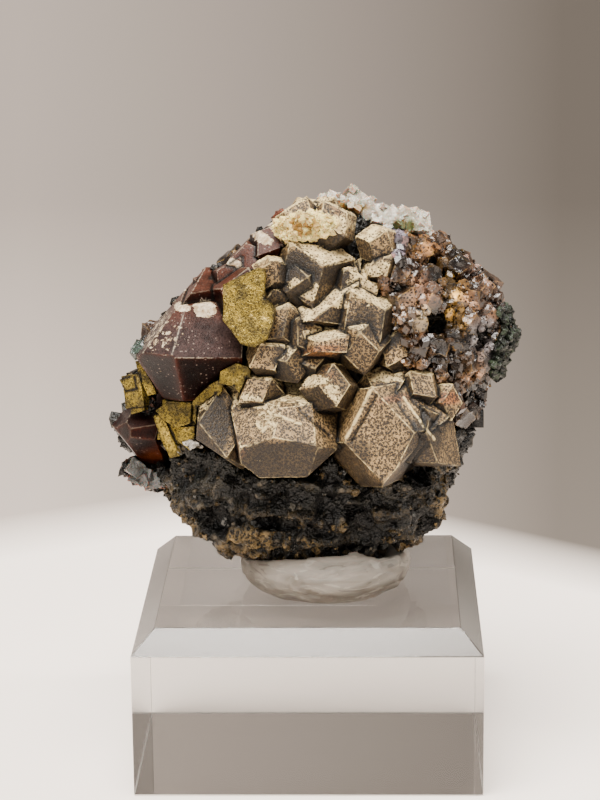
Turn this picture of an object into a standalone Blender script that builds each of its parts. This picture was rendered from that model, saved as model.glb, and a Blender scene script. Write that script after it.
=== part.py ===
"""Andradite garnets with pyrite and calcite on dark rock, held by putty on a clear block.

Lengths in the tables are millimetres. The origin is the middle of the block's underside,
+Z is up and the front of the specimen faces -Y. Angles are degrees: an azimuth of 0 faces
the front and 90 faces the right, and an elevation of 90 faces up.
"""

import math
import random

import bmesh
import bpy
from mathutils import Matrix, Vector, noise

MM = 0.001
GAP = 0.3
SEED = 11

BLOCK_WIDTH = 50.8
BLOCK_HEIGHT = 24.6
BLOCK_CHAMFER = 3.3

PUTTY_CENTRE = (2.4, -0.8)
PUTTY_HALF_WIDTH = 12.9
PUTTY_HALF_DEPTH = 13.8
PUTTY_HEIGHT = 7.6
PUTTY_ROUNDNESS = 0.4
# The share of its height at which it is widest, and how uneven its side is.
PUTTY_WIDEST = 0.4
PUTTY_UNEVEN = 0.03
PUTTY_SIDES = 32
PUTTY_RINGS = 8
# The rock's corners move this far out of the putty, which leaves the gap everywhere between them.
PUTTY_GAP = 0.45

# The width of the block that an uneven crystal is cut from.
ROUGH_WIDTH = 80.0

# Sections of the rock: height, then how far it reaches left, right, front and back.
ROCK_SECTIONS = [
    (29.4, -7.0, 11.0, -6.5, 8.0),
    (30.6, -12.5, 14.8, -9.5, 12.0),
    (32.2, -15.8, 17.8, -10.8, 14.5),
    (34.0, -19.2, 19.2, -12.2, 16.0),
    (36.5, -21.2, 20.7, -13.2, 17.2),
    (41.0, -22.5, 22.0, -13.6, 18.6),
    (45.0, -23.6, 24.3, -13.2, 19.4),
    (49.5, -25.2, 24.8, -12.6, 20.0),
    (53.0, -26.0, 25.6, -12.4, 20.4),
    (57.0, -26.2, 26.8, -13.0, 20.6),
    (62.0, -25.4, 29.4, -13.4, 20.4),
    (67.0, -20.6, 28.4, -12.8, 19.6),
    (71.0, -16.4, 26.2, -11.4, 18.0),
    (75.0, -11.8, 22.6, -9.0, 15.6),
    (79.0, -7.2, 16.6, -6.4, 12.0),
    (82.5, -3.0, 10.0, -3.6, 7.5),
]
# The upper part slopes down to the back: from this height up, and how steeply.
BACK_SLOPE_FROM = 56.0
BACK_SLOPE_FULLY = 66.0
BACK_SLOPE = 0.28
ROCK_TOP = 81.0
# The lowest part is smoother: its height, and the share of the lumps that it keeps.
ROCK_FOOT = 4.3
ROCK_FOOT_RELIEF = 0.35
ROCK_RINGS = 20
ROCK_SIDES = 40
ROCK_SQUARENESS = 2.3
# The rings lie closer together low down, where the rock is bare.
ROCK_RING_BIAS = 1.5
ROCK_LUMP = 1.5
ROCK_LUMP_SPACING = 6.0
ROCK_PIT = 1.1
ROCK_PIT_SPACING = 2.9
# Single knobs and hollows: centre, reach, and how far the rock there is pushed.
ROCK_FEATURES = [
    ((-11.5, -4.5, 30.5), 3.6, (-0.8, -0.6, -1.6)),
    ((19.0, -4.0, 33.5), 4.0, (1.2, -0.6, -0.4)),
    ((7.0, -11.5, 33.5), 3.4, (0.0, 3.0, 0.6)),
    ((-6.0, -13.0, 38.0), 3.2, (0.0, 2.0, 0.0)),
    ((-17.5, -9.0, 34.0), 3.4, (-0.6, -1.0, -0.6)),
    ((13.0, -11.0, 37.0), 4.0, (0.3, -1.2, 0.0)),
    ((0.0, -12.5, 36.0), 3.6, (0.0, -1.2, 0.0)),
    ((16.0, 13.0, 40.0), 4.5, (1.5, 1.5, 0.0)),
    ((-12.0, 16.0, 43.0), 5.0, (-1.0, 2.0, 0.0)),
    ((2.0, 17.5, 37.0), 4.0, (0.0, -2.2, 0.5)),
]

# Above this height the rock lies deeper, under the crystals that cover it.
COVERED_FROM = 49.0
COVERED_FULLY = 53.5
COVERED_INSET = 3.3
# The share of its lumps that the covered rock loses.
COVERED_CALM = 0.5

# Where the crust of small crystals begins on the front: height, then the distance to the right.
CRUST_EDGE = [
    (50.0, 24.0),
    (52.5, 21.0),
    (55.5, 18.0),
    (60.0, 15.5),
    (67.0, 15.5),
    (73.0, 13.5),
    (79.0, 8.5),
    (83.0, 2.0),
]
CRUST_FROM = 52.8
CRUST_ROW = 3.4
CRUST_TOP = 80.6
CRUST_END_BEARING = 258
CRUST_COARSE_BEARING = 112
CRUST_FINE_SIZE = (1.9, 2.9)
CRUST_COARSE_SIZE = (3.3, 4.8)
CRUST_SPACING = 1.75
# How deep the crystals' middles lie below the outline, as a share of their size.
CRUST_FINE_SUNK = 0.62
CRUST_COARSE_SUNK = 0.8
CRUST_SUNK_SPREAD = (-0.3, 0.5)
# From this height up the crystals are smaller by that share.
CRUST_TOP_FROM = 76.0
CRUST_TOP_SHARE = 0.75
# How far a crystal may lie above or below its row.
CRUST_FINE_SHIFT = 0.6
CRUST_COARSE_SHIFT = 2.0
# The crust's inner face: how deep below the outline, from and to what height, its rings and sides.
CRUST_DEPTH = 1.9
CRUST_CORE_BOTTOM = 43.0
CRUST_CORE_TOP = 82.1
CRUST_CORE_RINGS = 12
CRUST_CORE_SIDES = 24
# Deep pits in the crust's front: distance to the right, height and radius.
CRUST_PITS = [(19.8, 66.2, 1.6), (19.6, 72.2, 1.5), (24.8, 64.0, 1.2)]


def garnet(at, size, facing, turn, *broken):
    """A rhombic dodecahedron: centre, distance of its faces, main face, its turn, broken-off sides."""
    return {"at": at, "size": size, "facing": facing, "turn": turn, "cuts": broken}


def uneven(at, *cuts):
    """A crystal that grew unevenly: centre, then each face as azimuth, elevation and distance."""
    return {"at": at, "cuts": cuts}


def cube(at, size, facing, turn):
    """A block crystal: centre, its width, depth and height, where its front faces and its roll."""
    return {"at": at, "box": size, "facing": facing, "turn": turn}


def plate(at, outline, depth, facing, turn):
    """A flat crystal: centre, its outline seen from the front, depth, where its front faces and its roll."""
    return {"at": at, "outline": outline, "depth": depth, "facing": facing, "turn": turn}


# The tan and brown crystals of the middle, each row from the right to the left.
TAN_GARNETS = [
    # The two large ones in front.
    garnet((11.6, -12.0, 50.9), 7.2, (-9, 10), -10, (66, -36, 5.4)),
    uneven((-3.5, -12.0, 50.4), (-2, -18, 7.8), (-36, 46, 7.2), (14, 44, 7.7), (-82, -8, 7.0),
           (-78, -50, 6.2), (4, -74, 5.9), (46, -24, 8.6), (75, -45, 6.6), (60, 30, 8.0), (0, 80, 6.6),
           (180, 0, 8.0)),
    # Beside them.
    uneven((16.4, -14.0, 51.2), (-38, 42, 3.2), (12, -16, 3.8), (64, 8, 2.8), (0, -70, 4.2), (180, 0, 4.0),
           (-80, -20, 5.0), (100, 60, 4.0)),
    garnet((-13.0, -10.0, 50.5), 5.4, (14, 32), 3, (-66, -52, 2.6), (-88, 6, 3.2)),
    # Just above them.
    garnet((19.6, -10.0, 55.0), 2.6, (35, 10), 10),
    garnet((16.1, -11.0, 57.1), 2.8, (15, 30), -40),
    uneven((11.8, -11.0, 57.1), (8, 62, 2.9), (4, -4, 4.6), (62, 6, 3.2), (-60, 20, 4.2), (180, 0, 3.5),
           (0, -80, 5.0), (120, 40, 3.6), (-130, 40, 3.2)),
    garnet((3.4, -14.0, 58.1), 3.2, (84, 39), -28),
    garnet((-6.5, -12.0, 56.7), 3.0, (-20, 25), 50),
    # The row of small ones across the middle.
    garnet((13.2, -9.0, 62.6), 3.2, (-5, 20), 25),
    garnet((7.6, -12.0, 64.3), 3.5, (8, -12), -7),
    garnet((0.8, -11.6, 61.6), 2.8, (0, 30), 75),
    garnet((-2.2, -12.0, 61.9), 3.0, (25, 5), 10),
    garnet((-5.3, -11.5, 62.4), 3.0, (-5, 10), 60),
    # The stepped ones over that row.
    garnet((8.0, -9.0, 66.9), 4.7, (62, 58), -57),
    garnet((7.0, -6.2, 69.6), 4.6, (62, 58), -57),
    uneven((3.1, -9.0, 69.0), (-40, 58, 2.4), (25, 10, 4.0), (-75, -5, 4.8), (-120, 45, 3.0), (85, 0, 4.6),
           (180, 0, 5.0), (0, -60, 3.4)),
    garnet((3.0, -12.6, 62.3), 4.1, (-24, 76), -87, (0, -60, 0.3)),
    garnet((-0.5, -11.0, 64.9), 3.2, (20, 15), -30),
    garnet((-3.4, -10.0, 66.2), 3.6, (-25, 20), 40),
    garnet((-4.7, -9.0, 70.7), 2.3, (10, -5), 70),
    garnet((-0.9, -8.0, 72.3), 3.4, (5, -20), 15),
    garnet((-4.9, -9.0, 73.8), 2.4, (-20, 5), 20),
    # The top.
    garnet((11.2, -7.4, 74.6), 2.3, (-15, 10), 50),
    garnet((10.4, -6.4, 77.6), 2.6, (10, 5), 20),
    garnet((0.7, -6.0, 73.0), 5.0, (39, 56), -58),
    garnet((3.4, -5.0, 79.9), 3.2, (15, 35), -20),
    garnet((-0.6, -5.0, 80.2), 3.2, (-10, 40), 15),
    garnet((2.8, -1.0, 80.9), 2.4, (20, 20), 20),
    garnet((-0.3, -1.0, 80.3), 2.8, (-20, 30), 60),
]

# The dark red-brown crystals of the upper left.
DARK_GARNETS = [
    uneven((-17.6, -5.0, 62.2), (-34, 46, 8.2), (24, 40, 8.4), (-30, -34, 8.0), (16, -34, 8.2),
           (-90, 40, 5.4), (-80, -30, 7.0), (88, 0, 8.6), (176, 4, 6.7), (0, 88, 7.5), (0, -88, 7.0),
           (-135, 30, 7.2), (-125, -30, 7.4)),
    uneven((-15.8, -3.0, 68.8), (-34, 46, 5.2), (24, 10, 4.6), (-90, 42, 2.2), (88, 0, 4.0), (180, 0, 5.0),
           (0, 80, 3.0), (0, -88, 5.0), (-60, -10, 5.0)),
    garnet((-15.0, -1.0, 69.9), 2.0, (-10, 20), 40),
    garnet((-10.2, -3.0, 71.2), 3.4, (-20, 30), 20),
    garnet((-7.7, -2.0, 73.4), 3.6, (-15, 35), 70),
    garnet((-4.7, -2.0, 76.1), 3.4, (-10, 40), 30),
    garnet((-2.8, -1.0, 78.0), 3.0, (-20, 35), 80),
    garnet((-9.2, -6.0, 69.4), 4.2, (-5, 25), 15),
]

# The single crystal at the left tip.
TIP_GARNET = [
    uneven((-25.2, -3.0, 48.4), (-62, 4, 3.2), (14, 8, 4.6), (0, -50, 2.5), (72, -12, 3.6), (0, 70, 3.6),
           (180, 0, 5.0), (-72, -36, 2.4), (-84, 42, 3.3)),
]

PYRITE_UPPER = [
    plate((-8.2, -14.2, 70.3), [(-3.7, 3.1), (1.3, 5.6), (2.3, 5.4), (2.3, 1.2), (3.9, -0.3), (3.6, -2.7),
                                (2.8, -4.5), (1.0, -5.8), (-1.1, -5.4), (-2.1, -3.9), (-3.6, -2.1)],
          5.0, (-4, 12), 0),
]
PYRITE_LOWER = [
    plate((-19.4, -9.6, 54.0), [(-3.0, -0.5), (-1.9, 0.4), (-0.2, 2.6), (2.6, 1.8), (2.4, -2.0), (0.2, -2.8),
                                (-1.6, -1.8)], 3.4, (-16, 8), 0),
    plate((-20.6, -9.2, 50.0), [(-2.4, 2.6), (-0.8, 2.9), (0.6, 0.0), (2.0, -3.0), (0.4, -3.5), (-0.9, -1.2)],
          3.2, (-20, 4), 0),
    plate((-17.6, -10.2, 50.0), [(-1.6, 1.2), (1.0, 1.5), (1.8, -1.2), (0.4, -2.0), (-1.4, -0.8)],
          3.4, (-10, 10), 0),
    cube((-18.0, -7.6, 51.6), (7.0, 3.0, 6.4), (-12, 6), 8),
]
PYRITE_MIDDLE = [
    plate((-14.7, -12.4, 55.9), [(-2.0, -0.2), (0.6, 2.4), (2.0, 3.2), (2.8, 3.2), (2.4, 1.6), (-1.2, -3.8),
                                 (-2.0, -3.0)], 5.0, (-12, 0), 0),
    plate((-10.2, -13.4, 59.6), [(-2.5, -0.9), (-2.1, 2.2), (-0.3, 2.2), (2.0, 1.6), (2.1, 0.2), (1.4, -1.5),
                                 (0.7, -2.5), (-0.3, -1.2)], 3.6, (-8, 6), 0),
]
PYRITE_LEFT = [
    plate((-24.4, -6.4, 57.6), [(-1.4, 2.6), (0.9, 2.2), (2.6, -1.8), (1.2, -2.2), (-0.4, 0.2)],
          2.6, (-30, 6), 0),
    plate((-26.4, -5.6, 56.6), [(-1.8, 0.6), (0.8, 1.6), (1.4, -0.4), (-0.6, -1.0)], 2.6, (-30, 10), 0),
    plate((-25.0, -6.2, 53.8), [(-1.4, 0.9), (0.9, 1.3), (0.9, -0.9), (-1.2, -1.6)], 2.6, (-24, 4), 0),
    cube((-25.2, -4.8, 55.6), (3.4, 2.6, 4.8), (-30, 6), -12),
]
CALCITE_TOP = [
    cube((2.4, 0.6, 81.6), (2.8, 3.0, 2.8), (30, 20), 40),
    cube((4.4, 1.6, 81.9), (3.4, 3.2, 3.0), (-15, 30), 20),
    cube((6.8, 1.6, 82.2), (3.0, 3.2, 3.2), (25, 40), 50),
    cube((8.8, 1.2, 81.2), (3.2, 3.0, 3.0), (-10, 20), 65),
    cube((10.8, 0.8, 80.2), (3.2, 3.0, 3.0), (15, 35), 15),
    cube((12.6, 0.4, 79.8), (3.0, 3.2, 3.2), (-20, 30), 45),
    cube((14.2, 0.2, 80.0), (3.0, 3.2, 3.2), (10, 20), 30),
    cube((16.2, 0.2, 79.2), (3.0, 3.0, 3.2), (30, 35), 10),
    cube((17.4, 0.0, 78.0), (2.4, 2.6, 2.4), (-5, 15), 50),
]
CALCITE_LEFT = [
    cube((-24.9, -1.6, 41.6), (3.4, 3.4, 2.8), (-20, 15), 12),
    cube((-26.2, -2.2, 42.8), (2.4, 2.6, 2.4), (15, 20), 40),
    cube((-23.2, -1.4, 40.8), (3.0, 3.6, 2.4), (-10, 10), -15),
]
OTHER_MINERALS = {
    "pyrite_upper": PYRITE_UPPER,
    "pyrite_lower": PYRITE_LOWER,
    "pyrite_middle": PYRITE_MIDDLE,
    "pyrite_left": PYRITE_LEFT,
    "calcite_top": CALCITE_TOP,
    "calcite_left": CALCITE_LEFT,
}

MATERIALS = {
    "acrylic_block": ((0.90, 0.93, 0.94), 0.06, 0.0),
    "mounting_putty": ((0.72, 0.70, 0.67), 0.55, 0.0),
    "matrix": ((0.055, 0.052, 0.042), 0.70, 0.0),
    "garnet_cluster": ((0.36, 0.28, 0.19), 0.45, 0.0),
    "garnet_dark_left": ((0.14, 0.055, 0.045), 0.35, 0.0),
    "garnet_left_tip": ((0.20, 0.06, 0.035), 0.35, 0.0),
    "garnet_crust": ((0.34, 0.24, 0.18), 0.40, 0.0),
    "pyrite_upper": ((0.46, 0.38, 0.14), 0.45, 0.7),
    "pyrite_lower": ((0.50, 0.41, 0.17), 0.45, 0.7),
    "pyrite_middle": ((0.48, 0.39, 0.15), 0.45, 0.7),
    "pyrite_left": ((0.46, 0.38, 0.14), 0.45, 0.7),
    "calcite_top": ((0.85, 0.82, 0.74), 0.30, 0.0),
    "calcite_left": ((0.55, 0.55, 0.53), 0.25, 0.0),
}


def start_scene():
    """Empty the scene and make the collections for the parts and for the shapes that cut and join them."""
    for old in list(bpy.data.objects):
        bpy.data.objects.remove(old, do_unlink=True)
    parts = bpy.data.collections.new("andradite_garnet_with_pyrite")
    helpers = bpy.data.collections.new("cutters")
    bpy.context.scene.collection.children.link(parts)
    bpy.context.scene.collection.children.link(helpers)
    return parts, helpers


def material(name):
    colour, roughness, metallic = MATERIALS[name]
    made = bpy.data.materials.new(name)
    made.use_nodes = True
    shader = made.node_tree.nodes["Principled BSDF"]
    shader.inputs["Base Color"].default_value = (*colour, 1.0)
    shader.inputs["Roughness"].default_value = roughness
    shader.inputs["Metallic"].default_value = metallic
    return made


def add_part(name, mesh, collection):
    mesh.name = name
    mesh.materials.clear()
    mesh.materials.append(material(name))
    part = bpy.data.objects.new(name, mesh)
    collection.objects.link(part)
    return part


def mesh_from(bm, name):
    bmesh.ops.recalc_face_normals(bm, faces=bm.faces[:])
    mesh = bpy.data.meshes.new(name)
    bm.to_mesh(mesh)
    bm.free()
    return mesh


def direction(azimuth, elevation):
    azimuth = math.radians(azimuth)
    elevation = math.radians(elevation)
    level = math.cos(elevation)
    return Vector((math.sin(azimuth) * level, -math.cos(azimuth) * level, math.sin(elevation)))


def facing_axes(facing, turn):
    """The front, the up and the left direction of a crystal whose front faces that way, after its roll."""
    front = direction(*facing)
    up = (Vector((0, 0, 1)) - front.z * front).normalized()
    right = up.cross(front)
    turn = math.radians(turn)
    up = math.cos(turn) * up + math.sin(turn) * right
    return front, up, front.cross(up)


def cut_by_face(bm, normal, distance):
    """Cut away what lies beyond a plane and close the cut."""
    geometry = bm.verts[:] + bm.edges[:] + bm.faces[:]
    spot = normal * distance
    bmesh.ops.bisect_plane(bm, geom=geometry, dist=1e-6, plane_co=spot, plane_no=normal, clear_outer=True)
    bmesh.ops.holes_fill(bm, edges=bm.edges[:], sides=0)


def dodecahedron(bm, shape, grow):
    """Twelve equal rhombs: the corners of a cube and the tips of its six pyramids."""
    front, up, left = facing_axes(shape["facing"], shape["turn"])
    unit = (shape["size"] + grow) / math.sqrt(2)
    axes = [(front - up) / math.sqrt(2), (front + up) / math.sqrt(2), left]
    corners = [Vector((x, y, z)) for x in (-1, 1) for y in (-1, 1) for z in (-1, 1)]
    corners += [2 * sign * Vector(axis) for sign in (-1, 1) for axis in ((1, 0, 0), (0, 1, 0), (0, 0, 1))]
    for corner in corners:
        bm.verts.new(unit * (corner.x * axes[0] + corner.y * axes[1] + corner.z * axes[2]))
    bmesh.ops.convex_hull(bm, input=bm.verts[:])
    bmesh.ops.dissolve_limit(bm, angle_limit=0.01, verts=bm.verts[:], edges=bm.edges[:])


def crystal_mesh(shape, grow=0.0):
    """One crystal in place, with every face moved out by grow."""
    bm = bmesh.new()
    if "box" in shape or "outline" in shape:
        front, up, left = facing_axes(shape["facing"], shape["turn"])
    if "size" in shape:
        dodecahedron(bm, shape, grow)
    elif "box" in shape:
        bmesh.ops.create_cube(bm, size=1.0)
        width, depth, height = (side + 2 * grow for side in shape["box"])
        for vert in bm.verts:
            vert.co = -left * vert.co.x * width - front * vert.co.y * depth + up * vert.co.z * height
    elif "outline" in shape:
        outer = [Vector(point) * (1 + grow / Vector(point).length) for point in shape["outline"]]
        face = bm.faces.new([bm.verts.new(-left * x + up * y + front * grow) for x, y in outer])
        pulled = bmesh.ops.extrude_face_region(bm, geom=[face])["geom"]
        for vert in (item for item in pulled if isinstance(item, bmesh.types.BMVert)):
            vert.co -= front * (shape["depth"] + 2 * grow)
    else:
        bmesh.ops.create_cube(bm, size=ROUGH_WIDTH)
    for azimuth, elevation, distance in shape.get("cuts", ()):
        cut_by_face(bm, direction(azimuth, elevation), distance + grow)
    bmesh.ops.transform(bm, matrix=Matrix.Scale(MM, 4) @ Matrix.Translation(shape["at"]), verts=bm.verts[:])
    return mesh_from(bm, "crystal")


def helper(mesh, collection):
    """A shape that only cuts or joins."""
    made = bpy.data.objects.new("helper", mesh)
    made.hide_render = True
    made.display_type = "WIRE"
    collection.objects.link(made)
    return made


def applied(base):
    """The object's mesh with its modifiers worked out."""
    graph = bpy.context.evaluated_depsgraph_get()
    graph.update()
    return bpy.data.meshes.new_from_object(base.evaluated_get(graph))


def boolean(mesh, others, operation, helpers):
    """Join meshes to one mesh, or cut them from it."""
    if not others:
        return mesh
    operands = bpy.data.collections.new("operands")
    helpers.children.link(operands)
    base = helper(mesh, helpers)
    for other in others:
        helper(other, operands)
    step = base.modifiers.new(operation.lower(), "BOOLEAN")
    step.operation = operation
    step.solver = "EXACT"
    step.operand_type = "COLLECTION"
    step.collection = operands
    result = applied(base)
    for used in list(operands.objects) + [base]:
        bpy.data.objects.remove(used, do_unlink=True)
    bpy.data.collections.remove(operands)
    return result


def fused(shapes, helpers, grow=0.0):
    """Crystals grown together, as one solid."""
    meshes = [crystal_mesh(shape, grow) for shape in shapes]
    return boolean(meshes[0], meshes[1:], "UNION", helpers)


def main_body(mesh):
    """Drop the chips that a cut leaves loose, and keep the largest body."""
    bm = bmesh.new()
    bm.from_mesh(mesh)
    bmesh.ops.remove_doubles(bm, verts=bm.verts[:], dist=1e-6)
    bodies = []
    unseen = set(bm.verts)
    while unseen:
        body = set()
        edge_of_body = [unseen.pop()]
        while edge_of_body:
            vert = edge_of_body.pop()
            body.add(vert)
            for edge in vert.link_edges:
                other = edge.other_vert(vert)
                if other in unseen:
                    unseen.discard(other)
                    edge_of_body.append(other)
        bodies.append(body)
    largest = max(bodies, key=len)
    loose = [vert for vert in bm.verts if vert not in largest]
    bmesh.ops.delete(bm, geom=loose, context="VERTS")
    bm.to_mesh(mesh)
    bm.free()
    return mesh


def between(table, height, column):
    """A value of a table of rows that start with their height, on a straight line between two rows."""
    for low, high in zip(table, table[1:]):
        if height <= high[0]:
            share = max(0.0, (height - low[0]) / (high[0] - low[0]))
            return low[column] + (high[column] - low[column]) * share
    return table[-1][column]


def rock_point(height, bearing, inset=0.0):
    """A point of the rock's smooth outline. A bearing of 0 is the front and 90 is the right."""
    left, right, front, back = (between(ROCK_SECTIONS, height, column) for column in (1, 2, 3, 4))
    power = 2 / ROCK_SQUARENESS
    sine = math.sin(math.radians(bearing))
    cosine = math.cos(math.radians(bearing))
    across = math.copysign(abs(sine) ** power, sine)
    along = math.copysign(abs(cosine) ** power, cosine)
    x = (left + right) / 2 + ((right - left) / 2 - inset) * across
    y = (front + back) / 2 - ((back - front) / 2 - inset) * along
    sloping = min(1.0, max(0.0, (height - BACK_SLOPE_FROM) / (BACK_SLOPE_FULLY - BACK_SLOPE_FROM)))
    return Vector((x, y, height - BACK_SLOPE * sloping * max(0.0, y)))


def close_rings(bm, rings):
    """Skin rings of points one above the other, and close the lowest and the highest."""
    count = len(rings[0])
    for low, high in zip(rings, rings[1:]):
        for side in range(count):
            after = (side + 1) % count
            bm.faces.new((low[side], low[after], high[after], high[side]))
    bm.faces.new(list(reversed(rings[0])))
    bm.faces.new(rings[-1])


def rock_mesh():
    """The rock: rings of the outline with lumps and pits, closed flat below and above."""
    bottom = ROCK_SECTIONS[0][0]
    bm = bmesh.new()
    rings = []
    for level in range(ROCK_RINGS + 1):
        share = (level / ROCK_RINGS) ** ROCK_RING_BIAS
        height = bottom + (ROCK_TOP - bottom) * share
        covered = min(1.0, max(0.0, (height - COVERED_FROM) / (COVERED_FULLY - COVERED_FROM)))
        above_foot = min(1.0, (height - bottom) / ROCK_FOOT)
        relief = (ROCK_FOOT_RELIEF + (1 - ROCK_FOOT_RELIEF) * above_foot) * (1 - COVERED_CALM * covered)
        ring = []
        for side in range(ROCK_SIDES):
            point = rock_point(height, 360 * side / ROCK_SIDES, COVERED_INSET * covered)
            outward = Vector((point.x, point.y, 0)).normalized()
            lump = noise.noise(point / ROCK_LUMP_SPACING)
            pit = noise.noise(point / ROCK_PIT_SPACING + Vector((5, 0, 0)))
            point += outward * (ROCK_LUMP * lump + ROCK_PIT * pit) * relief
            for centre, reach, push in ROCK_FEATURES:
                nearness = max(0.0, 1 - ((point - Vector(centre)).length / reach) ** 2)
                point += Vector(push) * nearness ** 1.5 * (level > 0)
            ring.append(bm.verts.new(point * MM))
        rings.append(ring)
    close_rings(bm, rings)
    bmesh.ops.triangulate(bm, faces=bm.faces[:])
    return mesh_from(bm, "rock")


def grown(mesh, distance):
    """The mesh with every corner moved out along its normal."""
    bm = bmesh.new()
    bm.from_mesh(mesh)
    bm.normal_update()
    for vert in bm.verts:
        vert.co += vert.normal * distance * MM
    return mesh_from(bm, "grown")


def crust_core():
    """The space inside the crust of small crystals."""
    bm = bmesh.new()
    rings = []
    for level in range(CRUST_CORE_RINGS + 1):
        height = CRUST_CORE_BOTTOM + (CRUST_CORE_TOP - CRUST_CORE_BOTTOM) * level / CRUST_CORE_RINGS
        bearings = [360 * side / CRUST_CORE_SIDES for side in range(CRUST_CORE_SIDES)]
        rings.append([bm.verts.new(rock_point(height, bearing, CRUST_DEPTH) * MM) for bearing in bearings])
    close_rings(bm, rings)
    return mesh_from(bm, "core")


def crust_garnets():
    """Rows of small crystals over the right side, the top and the back."""
    chance = random.Random(SEED)
    made = []
    height = CRUST_FROM
    row = 0
    while height < CRUST_TOP:
        edge = between(CRUST_EDGE, height, 1)
        last = None
        for bearing in range(0, CRUST_END_BEARING):
            coarse = bearing > CRUST_COARSE_BEARING
            if coarse and row % 2:
                continue
            nominal = rock_point(height, bearing)
            if bearing < 90 and nominal.x < edge:
                continue
            low, high = CRUST_COARSE_SIZE if coarse else CRUST_FINE_SIZE
            size = chance.uniform(low, high) * (CRUST_TOP_SHARE if height > CRUST_TOP_FROM else 1.0)
            if last is not None and (nominal - last[0]).length < CRUST_SPACING * (size + last[1]) / 2:
                continue
            last = (nominal, size)
            sunk = CRUST_COARSE_SUNK if coarse else CRUST_FINE_SUNK
            depth = sunk * size + chance.uniform(*CRUST_SUNK_SPREAD)
            shift = CRUST_COARSE_SHIFT if coarse else CRUST_FINE_SHIFT
            at = rock_point(height + chance.uniform(-shift, shift), bearing, depth)
            facing = (chance.uniform(0, 360), chance.uniform(-60, 60))
            turn = chance.uniform(0, 90)
            if coarse or not any(math.hypot(at.x - x, at.z - z) < reach for x, z, reach in CRUST_PITS):
                made.append(garnet(at, size, facing, turn))
        height += CRUST_ROW
        row += 1
    return made


def block_mesh():
    """A square block with its four top edges chamfered."""
    bm = bmesh.new()
    bmesh.ops.create_cube(bm, size=1.0)
    for vert in bm.verts:
        x, y, z = vert.co
        vert.co = Vector((x * BLOCK_WIDTH, y * BLOCK_WIDTH, (z + 0.5) * BLOCK_HEIGHT)) * MM
    top = [edge for edge in bm.edges if all(vert.co.z > 0.5 * BLOCK_HEIGHT * MM for vert in edge.verts)]
    bmesh.ops.bevel(bm, geom=top, offset=BLOCK_CHAMFER * MM, segments=1, profile=0.5, affect="EDGES")
    return mesh_from(bm, "block")


def putty_mesh():
    """A pad pressed flat on the block, with bulging sides."""
    bm = bmesh.new()
    bottom = BLOCK_HEIGHT + GAP
    middle = Vector((*PUTTY_CENTRE, 0))
    rings = []
    for level in range(PUTTY_RINGS + 1):
        share = level / PUTTY_RINGS
        bulge = math.sqrt(1 - PUTTY_ROUNDNESS * (2 * (share - PUTTY_WIDEST)) ** 2)
        level_middle = middle + Vector((0, 0, bottom + PUTTY_HEIGHT * share))
        ring = []
        for side in range(PUTTY_SIDES):
            angle = 2 * math.pi * side / PUTTY_SIDES
            across = math.sin(angle)
            along = math.cos(angle)
            spot = Vector((across * PUTTY_HALF_WIDTH, -along * PUTTY_HALF_DEPTH, 0)) * bulge
            spot *= 1 + PUTTY_UNEVEN * noise.noise(Vector((3 * across, 3 * along, 2 * share)))
            ring.append(bm.verts.new((level_middle + spot) * MM))
        rings.append(ring)
    close_rings(bm, rings)
    return mesh_from(bm, "putty")


def main():
    parts, helpers = start_scene()
    crust = crust_garnets()
    tan_room = fused(TAN_GARNETS, helpers, GAP)
    dark_room = fused(DARK_GARNETS, helpers, GAP)
    tip_room = fused(TIP_GARNET, helpers, GAP)
    add_part("garnet_cluster", fused(TAN_GARNETS, helpers), parts)

    dark = boolean(fused(DARK_GARNETS, helpers), [tan_room.copy()], "DIFFERENCE", helpers)
    add_part("garnet_dark_left", main_body(dark), parts)
    tip = boolean(fused(TIP_GARNET, helpers), [tan_room.copy(), dark_room.copy()], "DIFFERENCE", helpers)
    add_part("garnet_left_tip", main_body(tip), parts)

    rooms = [tan_room, dark_room, tip_room]
    for name, shapes in OTHER_MINERALS.items():
        solid = boolean(fused(shapes, helpers), [room.copy() for room in rooms], "DIFFERENCE", helpers)
        add_part(name, main_body(solid), parts)
        rooms.append(fused(shapes, helpers, GAP))

    crust_cutters = [room.copy() for room in rooms] + [crust_core()]
    small = boolean(fused(crust, helpers), crust_cutters, "DIFFERENCE", helpers)
    add_part("garnet_crust", main_body(small), parts)

    # Only the lowest crystals of the crust reach into the rock.
    lowest = [shape for shape in crust if shape["at"][2] < COVERED_FULLY + CRUST_ROW]
    rooms.append(fused(lowest, helpers, GAP))
    rock = boolean(rock_mesh(), [room.copy() for room in rooms], "DIFFERENCE", helpers)
    add_part("matrix", main_body(rock), parts)
    putty = boolean(putty_mesh(), [grown(rock_mesh(), PUTTY_GAP)], "DIFFERENCE", helpers)
    add_part("mounting_putty", main_body(putty), parts)
    add_part("acrylic_block", block_mesh(), parts)


main()
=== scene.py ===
"""Looks of the garnet specimen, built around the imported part.

Tables and helper arrays here are in millimetres, in the part's own frame: the origin is the middle
of the block's underside, +Z is up and the front faces -Y. Places on the front are also given as
pixels of the 600 x 800 photograph frame, through the same camera.
"""

import math

import bmesh
import bpy
import numpy as np
from mathutils import Matrix, Vector
from mathutils.bvhtree import BVHTree
from mathutils.kdtree import KDTree


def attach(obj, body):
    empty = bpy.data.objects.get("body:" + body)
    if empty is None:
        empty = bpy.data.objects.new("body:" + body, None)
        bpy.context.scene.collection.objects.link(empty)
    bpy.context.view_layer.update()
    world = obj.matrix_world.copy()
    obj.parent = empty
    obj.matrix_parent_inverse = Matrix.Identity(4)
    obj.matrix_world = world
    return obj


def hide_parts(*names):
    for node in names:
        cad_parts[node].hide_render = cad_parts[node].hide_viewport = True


MM = 0.001

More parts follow.
